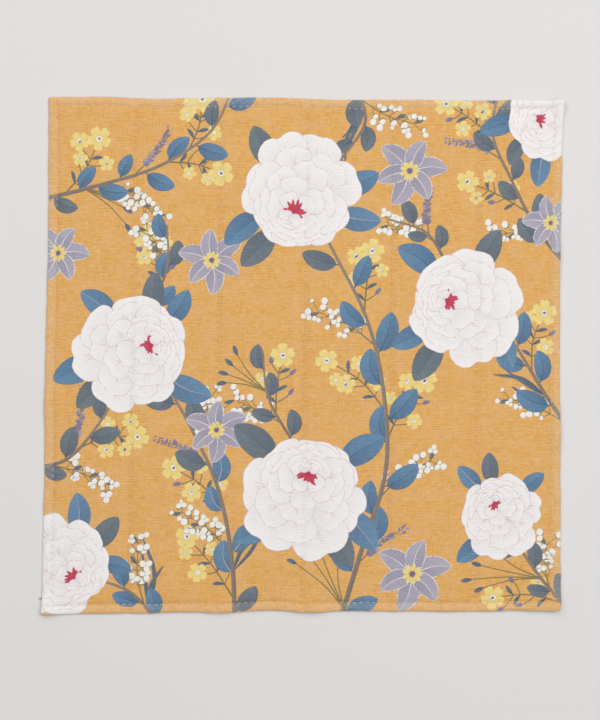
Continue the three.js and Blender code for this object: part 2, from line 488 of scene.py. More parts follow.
def unevenness(x, y, pitch_x, pitch_y, seed):
    """Smooth seeded noise from -1 to 1, with its own pitch each way."""
    knots = chance_heights(seed)
    across = np.asarray(x) / pitch_x + 8
    up = np.asarray(y) / pitch_y + 8
    column = np.floor(across).astype(int)
    row = np.floor(up).astype(int)
    s = ease(across - column)
    t = ease(up - row)
    left = column % KNOTS
    right = (column + 1) % KNOTS
    near = knots[row % KNOTS, left] * (1 - s) + knots[row % KNOTS, right] * s
    far = knots[(row + 1) % KNOTS, left] * (1 - s) + knots[(row + 1) % KNOTS, right] * s
    return near * (1 - t) + far * t


def round_corner(from_edge, from_other_edge):
    """Draws a right-angled corner in to a round one."""
    p = 1 - from_edge / CORNER_RADIUS
    q = 1 - from_other_edge / CORNER_RADIUS
    inside = (p <= 0) | (q <= 0)
    q = np.clip(q, 0, 1)
    return np.where(inside, from_edge, CORNER_RADIUS * (1 - p * np.sqrt(1 - q * q / 2)))


def grid_lines(size, rim_lines, pitch):
    """Grid lines across one side of the cloth: close at the rims and even between them."""
    near = np.array(rim_lines, float)
    cells = round((size - 2 * near[-1]) / pitch)
    between = np.linspace(near[-1], size - near[-1], cells + 1)[1:-1]
    return np.concatenate([near, between, size - near[::-1]])


class LaidCloth:
    """The cut square and how it lies on the table, in millimetres."""

    def __init__(self, sizes):
        self.width = sizes.width / MM
        self.length = sizes.length / MM
        self.thickness = sizes.thickness / MM
        self.hem = sizes.hem / MM
        self.channel = self.width / sizes.channels
        self.seams = [self.channel * (i + 1) for i in range(sizes.channels - 1)]
        self.stitch_pitch = sizes.stitch_pitch / MM
        self.middle = (0.0, 0.0)
        samples = np.linspace(0, 1, 200)
        laid_x, laid_y = self.spot(*np.meshgrid(self.width * samples, self.length * samples))
        self.middle = ((laid_x.min() + laid_x.max()) / 2, (laid_y.min() + laid_y.max()) / 2)

    def from_edge(self, x, y):
        """Distance to the nearest edge."""
        return np.minimum(np.minimum(x, self.width - x), np.minimum(y, self.length - y))

    def from_seam(self, x):
        """Distance to the nearest seam."""
        return np.min([np.abs(x - seam) for seam in self.seams], axis=0)

    def along_edge(self, x, y):
        """Distance along the edge that is nearest."""
        by_side = np.minimum(x, self.width - x) < np.minimum(y, self.length - y)
        return np.where(by_side, y, x)

    def spot(self, x, y):
        """Where a place on the cut square lies on the table."""
        near_x = np.minimum(x, self.width - x)
        near_y = np.minimum(y, self.length - y)
        inset_x = round_corner(near_x, near_y)
        inset_y = round_corner(near_y, near_x)
        u = np.where(x < self.width / 2, inset_x, self.width - inset_x) / self.width
        v = np.where(y < self.length / 2, inset_y, self.length - inset_y) / self.length
        spread = []
        for axis in (0, 1):
            lower = LOWER_LEFT[axis] * (1 - u) + LOWER_RIGHT[axis] * u
            upper = UPPER_LEFT[axis] * (1 - u) + UPPER_RIGHT[axis] * u
            spread.append(lower * (1 - v) + upper * v)
        left = wander(LEFT_AT, LEFT_OUT, v) * (1 - ease(u / EDGE_FADE))
        right = wander(RIGHT_AT, RIGHT_OUT, v) * (1 - ease((1 - u) / EDGE_FADE))
        lower = wander(LOWER_AT, LOWER_OUT, u) * (1 - ease(v / EDGE_FADE))
        upper = wander(UPPER_AT, UPPER_OUT, u) * (1 - ease((1 - v) / EDGE_FADE))
        laid_x = spread[0] - left + right - self.middle[0]
        laid_y = spread[1] - lower + upper - self.middle[1]
        return laid_x, laid_y

    def wavered_spot(self, x, y):
        """The same with the small unevenness of a hand-turned edge."""
        laid_x, laid_y = self.spot(x, y)
        fade_x = 1 - ease(np.minimum(x, self.width - x) / EDGE_WAVER_REACH)
        fade_y = 1 - ease(np.minimum(y, self.length - y) / EDGE_WAVER_REACH)
        for seed, pitch in EDGE_WAVER_PITCHES:
            share = EDGE_WAVER * pitch / EDGE_WAVER_REACH
            side_x = np.where(x < self.width / 2, 0, 40)
            side_y = np.where(y < self.length / 2, 0, 40)
            laid_x = laid_x + share * fade_x * unevenness(side_x, y, 1, pitch, seed)
            laid_y = laid_y + share * fade_y * unevenness(x, side_y, pitch, 1, seed)
        return laid_x, laid_y

    def lift(self, x, y):
        """How far the cloth has lifted off the table."""
        most = np.zeros(np.shape(x))
        for place in LIFTS:
            away = np.hypot(x - place["across"] * self.width, y - place["along"] * self.length)
            most = np.maximum(most, place["rise"] * (1 - ease(away / place["reach"])))
        return most

    def relief(self, x, y):
        """Puckers along the seams, crinkles of the gauze, and the roll of the hem."""
        edge = self.from_edge(x, y)
        inside = ease((edge - self.hem) / 5)
        by_seam = np.exp(-((self.from_seam(x) / PUCKER_REACH) ** 2))
        by_hem = np.exp(-(((edge - self.hem) / HEM_ROLL_REACH) ** 2))
        pucker = 0.6 * unevenness(x, y, 11, 3.4, 21) + 0.4 * unevenness(x, y, 7, 2.2, 22)
        crinkle = 0.6 * unevenness(x, y, 24, 3.1, 23) + 0.7 * unevenness(x, y, 38, 11, 24)
        along = self.along_edge(x, y)
        roll = unevenness(along, edge, 4.4, 9, 25) + 0.6 * unevenness(along, edge, 2.4, 5, 26)
        return (
            PUCKER_HEIGHT * pucker * by_seam * inside
            + CRINKLE_HEIGHT * crinkle * inside
            + HEM_ROLL_HEIGHT * roll * by_hem
        )

    def dimples(self, x, y):
        """How deep the stitches pull the cloth in where the thread goes down."""
        in_hem = self.from_edge(x, y) - self.hem
        by_seam = np.exp(-((self.from_seam(x) / DIMPLE_REACH) ** 2)) * ease(in_hem / 2)
        by_hem = np.exp(-((in_hem / DIMPLE_REACH) ** 2))
        return STITCH_DIMPLE * np.maximum(
            by_seam * self.going_down(y), by_hem * self.going_down(self.along_edge(x, y))
        )

    def going_down(self, along):
        """Rises from 0 in the middle of a stitch to 1 where the thread goes down."""
        return 0.5 + 0.5 * np.cos(2 * np.pi * (along - self.hem) / self.stitch_pitch)

    def top(self, x, y):
        """Height of the top face over the table."""
        edge = self.from_edge(x, y)
        in_channel = np.sin(np.pi * x / self.channel) ** 2
        inside = ease((edge - self.hem) / CROWN_FADE)
        phase = y / SWELL_PITCH + SWELL_LEAN * x / self.channel
        swell = SWELL_HEIGHT * np.sin(2 * np.pi * phase)
        seam = SEAM_DEPTH * (1 - ease(self.from_seam(x) / SEAM_REACH))
        hem = HEM_STITCH_DEPTH * (1 - ease(np.abs(edge - self.hem) / HEM_STITCH_REACH))
        full = self.thickness + (CHANNEL_CROWN + swell) * in_channel * inside
        full = full - np.maximum(seam, hem) + self.relief(x, y) - self.dimples(x, y)
        towards_rim = np.clip(edge / RIM_ROUNDING, 0, 1)
        rounded = np.sqrt(1 - (1 - towards_rim) ** 2)
        return self.lift(x, y) + RIM_HEIGHT + (full - RIM_HEIGHT) * rounded

    def under(self, x, y):
        """Height of the underside, which rounds up a little at the rim."""
        edge = self.from_edge(x, y)
        rounded = 1 - np.sqrt(1 - (1 - np.clip(edge / RIM_ROUNDING, 0, 1)) ** 2)
        return self.lift(x, y) + 0.3 * RIM_HEIGHT * rounded

    def on_top(self, x, y):
        """Points of the top face over places on the cut square."""
        return np.stack([*self.wavered_spot(x, y), self.top(x, y)], 1)

    def on_under(self, x, y):
        """Points of the underside."""
        return np.stack([*self.wavered_spot(x, y), self.under(x, y)], 1)


def smooth_path(points):
    """A smooth line through a few points, as closely spaced points."""
    points = np.array(points, float)
    padded = np.vstack([2 * points[0] - points[1], points, 2 * points[-1] - points[-2]])
    line = [points[:1]]
    for k in range(1, len(points)):
        before, start, end, after = padded[k - 1 : k + 3]
        steps = max(3, int(np.hypot(*(end - start)) / 2))
        t = np.linspace(0, 1, steps + 1)[1:, None]
        line.append(
            0.5
            * (
                2 * start
                + (end - before) * t
                + (2 * before - 5 * start + 4 * end - after) * t**2
                + (3 * start - before - 3 * end + after) * t**3
            )
        )
    return np.vstack(line)


def heading_of(degrees):
    """A unit vector at an angle from the X axis."""
    return np.array([math.cos(math.radians(degrees)), math.sin(math.radians(degrees))])


def cells_between(lines, low, high):
    """The first cell between two places on a grid's lines, and the one after the last."""
    first = max(int(np.searchsorted(lines, low)) - 1, 0)
    return first, min(int(np.searchsorted(lines, high)), len(lines) - 1)


class Design:
    """A printed design on the cut square. What is drawn later lies over what is drawn before."""

    def __init__(self, across, along):
        self.across = across
        self.along = along
        self.shapes = []

    def oval(self, ink, middle, heading, long, wide, flare=0.0, notch=0.0, ruffle=0.0, phase=0.0):
        """A rounded petal or dot. It can flare towards its tip, be notched there and be ruffled."""
        forward = heading_of(heading)
        reach = 1.25 * max(long, wide)

        def edge(x, y):
            u = ((x - middle[0]) * forward[0] + (y - middle[1]) * forward[1]) / long
            v = ((y - middle[1]) * forward[0] - (x - middle[0]) * forward[1]) / wide
            v = v / np.clip(1 + flare * u, 0.3, 2)
            dip = notch * np.exp(-((v / 0.2) ** 2)) * ease(u)
            wave = ruffle * np.cos(7 * np.arctan2(v, u) + phase) + ruffle * np.cos(4 * u - phase)
            return 1 - np.abs(u) ** 2.3 - np.abs(v) ** 2.3 - dip + wave, u, v

        def field(x, y):
            step = 0.05
            inside, u, v = edge(x, y)
            slope_x = (edge(x + step, y)[0] - inside) / step
            slope_y = (edge(x, y + step)[0] - inside) / step
            away = inside / np.maximum(np.hypot(slope_x, slope_y), 0.4 / max(long, wide))
            tone = np.clip(0.5 + 0.5 * u, 0, 1)
            return np.clip(away, FAR_OUT, 9), np.zeros_like(x), tone, 8 * v

        box = (middle[0] - reach, middle[0] + reach, middle[1] - reach, middle[1] + reach)
        self.shapes.append((ink, box, field))

    def stroke(self, ink, points, half_width, veins=0.0):
        """A line of changing width: a stem, a leaf or a pointed petal.

        half_width gives half the width at each share of the length."""
        path = smooth_path(points)
        shares = np.linspace(0, 1, 21)
        widest = float(np.max(half_width(shares)))
        margin = widest + FIELD_MARGIN
        steps = np.diff(path, axis=0)
        lengths = np.hypot(steps[:, 0], steps[:, 1])
        starts = np.concatenate([[0], np.cumsum(lengths)])[:-1]
        whole = lengths.sum()

        def field(x, y):
            from_x = x[..., None] - path[:-1, 0]
            from_y = y[..., None] - path[:-1, 1]
            run = (from_x * steps[:, 0] + from_y * steps[:, 1]) / lengths**2
            held = np.clip(run, 0, 1)
            away = np.hypot(from_x - held * steps[:, 0], from_y - held * steps[:, 1])
            nearest = away.argmin(-1)[..., None]

            def there(values):
                return np.take_along_axis(values, nearest, -1)[..., 0]

            across = there(steps[:, 0] * from_y - steps[:, 1] * from_x)
            length = lengths[nearest[..., 0]]
            past = there(run) * length
            first = nearest[..., 0] == 0
            last = nearest[..., 0] == len(lengths) - 1
            overrun = np.where(first, np.maximum(-past, 0), 0)
            overrun = overrun + np.where(last, np.maximum(past - length, 0), 0)
            side = np.sqrt(np.maximum(there(away) ** 2 - overrun**2, 0))
            lateral = np.where(across < 0, -side, side)
            reached = starts[nearest[..., 0]] + there(held) * length
            share = reached / whole
            half = half_width(share) - overrun
            return half, lateral, share, veins * (reached - 0.9 * side)

        low = path.min(0) - margin
        high = path.max(0) + margin
        self.shapes.append((ink, (low[0], high[0], low[1], high[1]), field))

    def settle(self):
        """Gives every cell of the grid the topmost shapes that touch it.

        Returns each layer's ink in every cell and its form at the cell's corners: half the width or
        the distance inside, the distance to the side, the tone, and the streaks' phase."""
        rows = len(self.along) - 1
        columns = len(self.across) - 1
        used = np.zeros((rows, columns), int)
        covered = np.zeros((rows, columns), bool)
        forms = np.zeros((LAYERS, rows, columns, 2, 2, 4), np.float32)
        forms[..., 0] = FAR_OUT
        inks = np.zeros((LAYERS, rows, columns), np.float32)
        names = list(INKS)
        for ink, (x0, x1, y0, y1), field in reversed(self.shapes):
            i0, i1 = cells_between(self.across, x0, x1)
            j0, j1 = cells_between(self.along, y0, y1)
            if i1 <= i0 or j1 <= j0:
                continue
            x, y = np.meshgrid(self.across[i0 : i1 + 1], self.along[j0 : j1 + 1])
            values = np.stack(field(x, y), -1)
            lower = np.stack([values[:-1, :-1], values[:-1, 1:]], 2)
            upper = np.stack([values[1:, :-1], values[1:, 1:]], 2)
            corners = np.stack([lower, upper], 2)
            half = corners[..., 0]
            side = corners[..., 1]
            widest = half.max((2, 3))
            nearest = np.abs(side).min((2, 3))
            crossed = (side.min((2, 3)) < 0) & (side.max((2, 3)) > 0)
            crossed = crossed & (nearest < widest + FIELD_MARGIN)
            touched = widest > np.where(crossed, 0, nearest) - INK_SPREAD
            open_here = ~covered[j0:j1, i0:i1] & (used[j0:j1, i0:i1] < LAYERS)
            j, i = np.nonzero(touched & open_here)
            layer = used[j0 + j, i0 + i]
            forms[layer, j0 + j, i0 + i] = corners[j, i]
            inks[layer, j0 + j, i0 + i] = names.index(ink)
            used[j0 + j, i0 + i] += 1
            full = (half - np.abs(side)).min((2, 3)) > HIDING_DEPTH
            covered[j0 + j, i0 + i] |= full[j, i]
        return forms, inks


def leaf_profile(width, stalk=0.12):
    """Half the width of a pointed leaf along its length, on a short stalk."""

    def half_width(share):
        blade = np.clip((share - stalk) / (1 - stalk), 0, 1)
        belly = blade**0.62 * (1 - blade) ** 0.72 / 0.44
        return np.maximum(0.32 * (1 - share), width * belly) - 0.4 * ease((share - 0.97) / 0.03)

    return half_width


def taper(start, end):
    """Half the width of a stem that thins from start to end."""

    def half_width(share):
        return start + (end - start) * share

    return half_width


def side_of(k):
    """Alternates between the right and the left of a stem."""
    return 1 if k % 2 else -1


def draw_leaf(design, ink, base, heading, length, width, bend):
    """A leaf from its base along a heading, bending by so many degrees."""
    middle = np.array(base) + 0.5 * length * heading_of(heading + 0.25 * bend)
    tip = middle + 0.5 * length * heading_of(heading + 0.9 * bend)
    design.stroke(ink, (base, middle, tip), leaf_profile(width), veins=34 / length)


def direction_at(path, spot):
    """The heading of a path at one of its points, in degrees."""
    run = path[min(spot + 1, len(path) - 1)] - path[max(spot - 1, 0)]
    return math.degrees(math.atan2(run[1], run[0]))


def draw_branch(design, branch, seed):
    """A branch with leaves on alternate sides and sprays that grow out of it."""
    chance = np.random.default_rng(seed)
    path = smooth_path(branch["points"])
    steps = np.diff(path, axis=0)
    reached = np.concatenate([[0], np.cumsum(np.hypot(steps[:, 0], steps[:, 1]))])

    def spot_at(distance):
        return int(np.clip(np.searchsorted(reached, distance), 1, len(path) - 1))

    for share, side, kind, length in branch["sprays"]:
        spot = spot_at(share * reached[-1])
        heading = direction_at(path, spot) + side * chance.uniform(26, 40)
        bend = side * chance.uniform(4, 22)
        bow = path[spot] + 0.5 * length * heading_of(heading)
        tip = bow + 0.5 * length * heading_of(heading + bend)
        SPRAYS[kind](design, (path[spot], bow, tip), chance)
    count = int(reached[-1] / branch["spacing"])
    for k in range(count):
        spot = spot_at((k + 0.5 + chance.uniform(-0.2, 0.2)) * branch["spacing"])
        side = side_of(k)
        spread = branch["spread"] + chance.uniform(-14, 14)
        grown = chance.uniform(0.78, 1.15)
        draw_leaf(
            design,
            branch["leaf"] if chance.uniform() < 0.7 else "slate leaf",
            path[spot],
            direction_at(path, spot) + side * spread,
            branch["leaf_length"] * grown,
            branch["leaf_width"] * grown,
            -side * chance.uniform(5, 55),
        )
    design.stroke("branch", branch["points"], taper(branch["width"], 0.5 * branch["width"]), 0.6)


def draw_rosette(design, bloom, seed):
    """A full white bloom: whorls of ruffled petals round a crimson heart."""
    chance = np.random.default_rng(seed)
    middle = np.array([bloom["x"], bloom["y"]], float)
    size = bloom["size"]
    faces = heading_of(bloom["faces"])
    for k, heading in enumerate(bloom["leaves"]):
        base = middle + 0.6 * size * heading_of(heading)
        grown = chance.uniform(0.85, 1.1) * size
        ink = ("blue leaf", "slate leaf", "pale-ribbed leaf")[k % 3]
        draw_leaf(design, ink, base, heading, 0.9 * grown, 0.24 * grown, chance.uniform(-30, 30))
    for place, whorl in enumerate(WHORLS):
        centre = middle + faces * size * WHORL_SHIFT * place
        for k in chance.permutation(whorl["petals"]):
            turn = bloom["turn"] + WHORL_TURN * place + 360 * k / whorl["petals"]
            heading = turn + chance.uniform(-9, 9)
            forward = heading_of(heading)
            nearer = 1 - 0.2 * float(forward @ faces)
            grown = chance.uniform(0.9, 1.1)
            spot = centre + forward * size * whorl["out"] * nearer
            design.oval(
                "white petal",
                spot,
                heading + chance.uniform(-12, 12),
                size * whorl["long"] * grown * (0.5 + 0.5 * nearer),
                size * whorl["wide"] * grown,
                flare=chance.uniform(0.1, 0.3),
                notch=chance.uniform(0.0, 0.35),
                ruffle=0.04,
                phase=chance.uniform(0, 6),
            )
            if place >= FOLDED_WHORLS:
                continue
            for fold_turn in FOLD_TURNS:
                lean = heading_of(heading + fold_turn + chance.uniform(-5, 5))
                start = spot - forward * size * whorl["long"] * 0.1 + lean * size * 0.05
                end = start + lean * size * whorl["long"] * chance.uniform(0.3, 0.65)
                design.stroke("white fold", (start, end), taper(0.11, 0.04))
    centre = middle + faces * size * WHORL_SHIFT * len(WHORLS)
    draw_heart(design, centre, size, bloom["faces"], chance)


def draw_heart(design, middle, size, facing, chance):
    """A tuft of crimson petals of uneven length, with two white ones curling over its foot."""
    foot = middle - 0.05 * size * heading_of(facing)
    for k in range(TUFT_PETALS):
        heading = facing + 180 + TUFT_FAN * (k - TUFT_PETALS // 2) + chance.uniform(-6, 6)
        length = size * chance.uniform(0.11, 0.24)
        bow = foot + 0.55 * length * heading_of(heading)
        tip = foot + length * heading_of(heading + chance.uniform(-12, 12))
        design.stroke("crimson petal", (foot, bow, tip), leaf_profile(0.032 * size, 0.0), 2.0)
    for k in range(FOOT_PETALS):
        heading = facing + 360 / FOOT_PETALS * k + chance.uniform(-20, 20)
        spot = foot + 0.06 * size * heading_of(heading)
        design.oval("crimson petal", spot, heading, 0.07 * size, 0.05 * size, ruffle=0.08)
    for turn in CURLED_TURNS:
        heading = facing + turn + chance.uniform(-8, 8)
        spot = foot + 0.11 * size * heading_of(heading)
        design.oval("white petal", spot, heading, 0.08 * size, 0.1 * size, ruffle=0.06)


def draw_star(design, star):
    """A flat flower of six pointed mauve petals."""
    middle = np.array([star["x"], star["y"]], float)
    size = star["size"]
    for place, ring in enumerate(STAR_RINGS):
        for k in range(3):
            heading = star["turn"] + 120 * k + 60 * place
            turned = heading + (7 if k % 2 else -9)
            points = (
                middle,
                middle + 0.55 * ring["long"] * size * heading_of(heading),
                middle + ring["long"] * size * heading_of(turned),
            )
            half_width = leaf_profile(ring["wide"] * size, 0.0)
            design.stroke("mauve petal", points, half_width, 60 / size)
    for k in range(EYE_PETALS):
        heading = 360 / EYE_PETALS * k
        spot = middle + 0.17 * size * heading_of(heading)
        design.oval("yellow petal", spot, heading, 0.09 * size, 0.05 * size)
    design.oval("dark eye", middle, 0, 0.07 * size, 0.07 * size)


def draw_blossom(design, middle, size, turn):
    """A small yellow blossom of five notched petals, with a cream ring and a dark eye."""
    for k in range(BLOSSOM["petals"]):
        heading = turn + 360 / BLOSSOM["petals"] * k
        spot = np.array(middle) + BLOSSOM["out"] * size * heading_of(heading)
        design.oval(
            "yellow petal",
            spot,
            heading,
            BLOSSOM["long"] * size,
            BLOSSOM["wide"] * size,
            flare=0.35,
            notch=0.5,
            ruffle=0.07,
            phase=turn + k,
        )
    ring = BLOSSOM["ring"] * size
    design.oval("cream dot", middle, turn, ring, ring, ruffle=0.1)
    design.oval("dark eye", middle, turn, 0.11 * size, 0.13 * size)


def draw_blossom_twig(design, points, chance):
    """A twig with narrow leaves, side twigs that end in buds or blossoms, and a last blossom."""
    path = smooth_path(points)
    design.stroke("twig", points, taper(0.5, 0.3))
    ends = []
    for k, share in enumerate(SIDE_TWIGS):
        spot = int(share * (len(path) - 1))
        side = side_of(k)
        heading = direction_at(path, spot) + side * chance.uniform(48, 68)
        leaf_heading = direction_at(path, spot) - side * 46
        draw_leaf(design, "slate leaf", path[spot], leaf_heading, 7.5, 1.2, -side * 20)
        reach = chance.uniform(8.5, 12.5)
        bow = path[spot] + 0.6 * reach * heading_of(heading)
        tip = bow + 0.4 * reach * heading_of(heading - side * 20)
        design.stroke("twig", (path[spot], bow, tip), taper(0.34, 0.26))
        ends.append((tip, heading - side * 20))
    for tip, heading in ends:
        if chance.uniform() < BUD_SHARE:
            design.oval("mauve bud", tip, heading, 2.2, 1.1, flare=-0.3)
        else:
            draw_blossom(design, tip, chance.uniform(3.8, 5.6), chance.uniform(0, 72))
    draw_blossom(design, path[-1], chance.uniform(6.2, 7.4), chance.uniform(0, 72))


def draw_berry_twig(design, points, chance):
    """A thin twig with cream berries in small bunches."""
    path = smooth_path(points)
    design.stroke("twig", points, taper(0.42, 0.24))
    bunches = []
    for k, share in enumerate(np.linspace(0.28, 1.0, 6)):
        spot = int(share * (len(path) - 1))
        ahead = direction_at(path, spot)
        if k % 2:
            draw_leaf(design, "slate leaf", path[spot], ahead + 48, 6.5, 1.3, -20)
        for side in (-1, 1):
            heading = ahead + side * chance.uniform(18, 62)
            middle = path[spot] + chance.uniform(4.0, 8.0) * heading_of(heading)
            design.stroke("twig", (path[spot], middle), taper(0.24, 0.2))
            bunches.append((middle, heading))
    for middle, heading in bunches:
        for berry in range(int(chance.integers(1, 4))):
            girth = chance.uniform(1.1, 1.9)
            away = heading + 120 * berry
            fruit = middle + 1.2 * girth * heading_of(away)
            design.oval("twig", fruit - 0.4 * girth * heading_of(heading), away, girth, girth)
            design.oval("cream dot", fruit, away, 1.15 * girth, girth, ruffle=0.06)


def draw_bud_spike(design, points, chance):
    """A spike with many small mauve buds that shrink towards its tip."""
    path = smooth_path(points)
    design.stroke("twig", points, taper(0.42, 0.22))
    for spot in range(len(path)):
        share = spot / (len(path) - 1)
        if share < 0.25:
            continue
        ahead = direction_at(path, spot)
        for side in (-1, 1):
            heading = ahead + side * chance.uniform(28, 62)
            girth = (1.15 - 0.5 * share) * chance.uniform(0.8, 1.2)
            bud = path[spot] + chance.uniform(1.2, 2.1) * heading_of(heading)
            ink = "mauve bud" if chance.uniform() < 0.6 else "pale bud"
            design.oval(ink, bud, heading, 1.6 * girth, 0.85 * girth)


def straight_run(points):
    """Where a spray starts, and how far and which way its tip is from there."""
    base = np.array(points[0], float)
    run = np.array(points[-1], float) - base
    return base, float(np.hypot(*run)), math.degrees(math.atan2(run[1], run[0]))


def draw_grass(design, points, chance):
    """A tuft of long narrow blades."""
    base, whole, ahead = straight_run(points)
    for k in range(3):
        heading = ahead + chance.uniform(-14, 14)
        reach = whole * (1 - 0.18 * k)
        middle = base + 0.5 * reach * heading_of(heading + 8 * (k - 1))
        end = base + reach * heading_of(heading - 6 * (k - 1))
        design.stroke("slate leaf", (base, middle, end), leaf_profile(1.3, 0.05), 0.0)


def draw_stems(design, points, chance):
    """A few long thin stems side by side, each with a small leaf at its end."""
    base, whole, ahead = straight_run(points)
    for k in range(4):
        turn = 9 * (k - 1.5) + chance.uniform(-3, 3)
        reach = whole * chance.uniform(0.7, 1.0)
        middle = base + 0.5 * reach * heading_of(ahead + turn)
        end = middle + 0.5 * reach * heading_of(ahead + 1.9 * turn)
        design.stroke("twig", (base, middle, end), taper(0.42, 0.26))
        draw_leaf(design, "slate leaf", end, ahead + 2.4 * turn, 7, 1.5, turn)


SPRAYS = {
    "blossoms": draw_blossom_twig,
    "berries": draw_berry_twig,
    "buds": draw_bud_spike,
    "grass": draw_grass,
    "stems": draw_stems,
}


@functools.cache
def settled_print(width, length):
    """The whole print, from the lowest shapes to the topmost, settled on the top's grid."""
    across = grid_lines(width, TOP_RIM_LINES, TOP_PITCH)
    along = grid_lines(length, TOP_RIM_LINES, TOP_PITCH)
    design = Design(across, along)
    for k, branch in enumerate(BRANCHES):
        draw_branch(design, branch, 300 + k)
    for star in STARS:
        draw_star(design, star)
    for k, bloom in enumerate(ROSETTES):
        draw_rosette(design, bloom, 500 + k)
    forms, inks = design.settle()
    return across, along, forms, inks


def linear(colour):
    """An sRGB colour as the scene's linear one, with full alpha."""
    return (*Color(colour).from_srgb_to_scene_linear(), 1.0)


class Board:
    """A material's node tree, emptied, to which nodes are added."""

    def __init__(self, name):
        self.material = bpy.data.materials.new(name)
        self.material.use_nodes = True
        self.tree = self.material.node_tree
        self.tree.nodes.clear()

    def add(self, kind, settings=None, values=None, output=0):
        """Adds a node. Its settings are set first, then the values or links of its sockets."""
        node = self.tree.nodes.new(kind)
        for name, value in (settings or {}).items():
            if name == "stops":
                self.set_stops(node.color_ramp, value)
            else:
                setattr(node, name, value)
        for name, value in (values or {}).items():
            if isinstance(value, Socket):
                self.tree.links.new(value.socket, node.inputs[name])
            else:
                node.inputs[name].default_value = value
        return Socket(self, node.outputs[output]) if node.outputs else None

    def set_stops(self, ramp, stops):
        """Fills a ramp with steps of even width."""
        ramp.interpolation = "CONSTANT"
        while len(ramp.elements) < len(stops):
            ramp.elements.new(1.0)
        for k, colour in enumerate(stops):
            ramp.elements[k].position = k / len(stops)
            ramp.elements[k].color = colour

    def attribute(self, name, output="Vector"):
        return self.add("ShaderNodeAttribute", {"attribute_name": name}, {}, output)

    def split(self, vector):
        """A vector's three numbers."""
        first = self.add("ShaderNodeSeparateXYZ", {}, {0: vector})
        return first, first.other(1), first.other(2)

    def join(self, x, y, z):
        return self.add("ShaderNodeCombineXYZ", {}, {0: x, 1: y, 2: z})

    def mix(self, share, first, second):
        """A colour between two colours."""
        return self.add("ShaderNodeMix", {"data_type": "RGBA"}, {0: share, 6: first, 7: second}, 2)

    def smooth(self, value, low, high):
        """Rises smoothly from 0 at low to 1 at high."""
        return self.add(
            "ShaderNodeMapRange",
            {"interpolation_type": "SMOOTHSTEP"},
            {"Value": value, "From Min": low, "From Max": high},
        )

    def noise(self, vector, scale, detail=2.0):
        """Noise from 0 to 1 at so many features a unit."""
        return self.add(
            "ShaderNodeTexNoise", {}, {"Vector": vector, "Scale": scale, "Detail": detail}
        )

    def scaled(self, colour, factor):
        """A colour made lighter or darker by a factor."""
        values = {0: colour, "Scale": factor}
        return self.add("ShaderNodeVectorMath", {"operation": "SCALE"}, values)

    def bump(self, height, strength, distance):
        """A normal tilted by a height, which is worth so many metres a unit."""
        values = {"Strength": strength, "Distance": distance, "Height": height}
        return self.add("ShaderNodeBump", {}, values, "Normal")

    def object_place(self):
        """The place on the piece, in metres."""
        return self.add("ShaderNodeTexCoord", {}, {}, "Object")

    def finish(self, colour, roughness, normal, sheen=0.0):
        """Ends the tree in a cloth shader, and gives its material."""
        shader = self.add(
            "ShaderNodeBsdfPrincipled",
            {},
            {
                "Base Color": colour,
                "Roughness": roughness,
                "Normal": normal,
                "Sheen Weight": sheen,
                "Sheen Roughness": 0.5,
                "Specular IOR Level": 0.2,
            },
        )
        self.add("ShaderNodeOutputMaterial", {}, {"Surface": shader})
        return self.material


class Socket:
    """One output of a node. Sums on it add Math nodes."""

    def __init__(self, board, socket):
        self.board = board
        self.socket = socket

    def other(self, output):
        """Another output of the same node."""
        return Socket(self.board, self.socket.node.outputs[output])

    def math(self, operation, *values):
        sockets = dict(enumerate(values))
        return self.board.add("ShaderNodeMath", {"operation": operation}, sockets)

    def __add__(self, value):
        return self.math("ADD", self, value)

    def __radd__(self, value):
        return self.math("ADD", value, self)

    def __sub__(self, value):
        return self.math("SUBTRACT", self, value)

    def __rsub__(self, value):
        return self.math("SUBTRACT", value, self)

    def __mul__(self, value):
        return self.math("MULTIPLY", self, value)

    def __rmul__(self, value):
        return self.math("MULTIPLY", value, self)

    def __truediv__(self, value):
        return self.math("DIVIDE", self, value)

    def __abs__(self):
        return self.math("ABSOLUTE", self)

    def sine(self):
        return self.math("SINE", self)

    def fraction(self):
        return self.math("FRACT", self)

    def least(self, value):
        return self.math("MINIMUM", self, value)


def ink_ramps(board, colours, ink):
    """An ink's three colours and its three numbers, looked up by its place in the list of inks."""
    place = (ink + 0.5) / len(INKS)
    found = []
    for part in range(3):
        stops = []
        for entry in INKS.values():
            colour = linear(getattr(colours, entry[part]))[:3]
            stops.append((*colour, entry[3 + part]))
        ramp = board.add("ShaderNodeValToRGB", {"stops": stops}, {0: place})
        found.append((ramp, ramp.other("Alpha")))
    return found


def printed_colour(board, colours, ground):
    """The print's layers over the ground, the topmost last."""
    colour = ground
    place = board.attribute("cut")
    worn = board.noise(place, 0.55)
    for layer in reversed(range(LAYERS)):
        form = board.attribute(f"form_{layer}")
        half, side, tone = board.split(form)
        streaks = form.other("Alpha")
        ink = board.attribute(f"ink_{layer}", "Fac")
        (base, outline), (tip, midrib), (line, streaking) = ink_ramps(board, colours, ink)
        inside = half - abs(side)
        cover = board.smooth(inside, -0.16, 0.12)
        light_side = board.smooth(side, -0.12, 0.12)
        body = board.mix(0.72 * tone + 0.28 * light_side, base, tip)
        veined = streaking * (0.5 + 0.5 * streaks.sine())
        body = board.mix(veined * (1.1 - tone), body, line)
        rib = 1 - board.smooth(abs(side), midrib * (1 - tone), midrib * (1.4 - tone) + 0.02)
        body = board.mix(rib * board.smooth(midrib, 0.02, 0.04), body, line)
        rim = 1 - board.smooth(inside, outline, outline + 0.18)
        rim = rim * board.smooth(worn, 0.3, 0.6)
        body = board.mix(0.85 * rim * board.smooth(outline, 0.02, 0.04), body, line)
        colour = board.mix(cover, colour, body)
    return colour


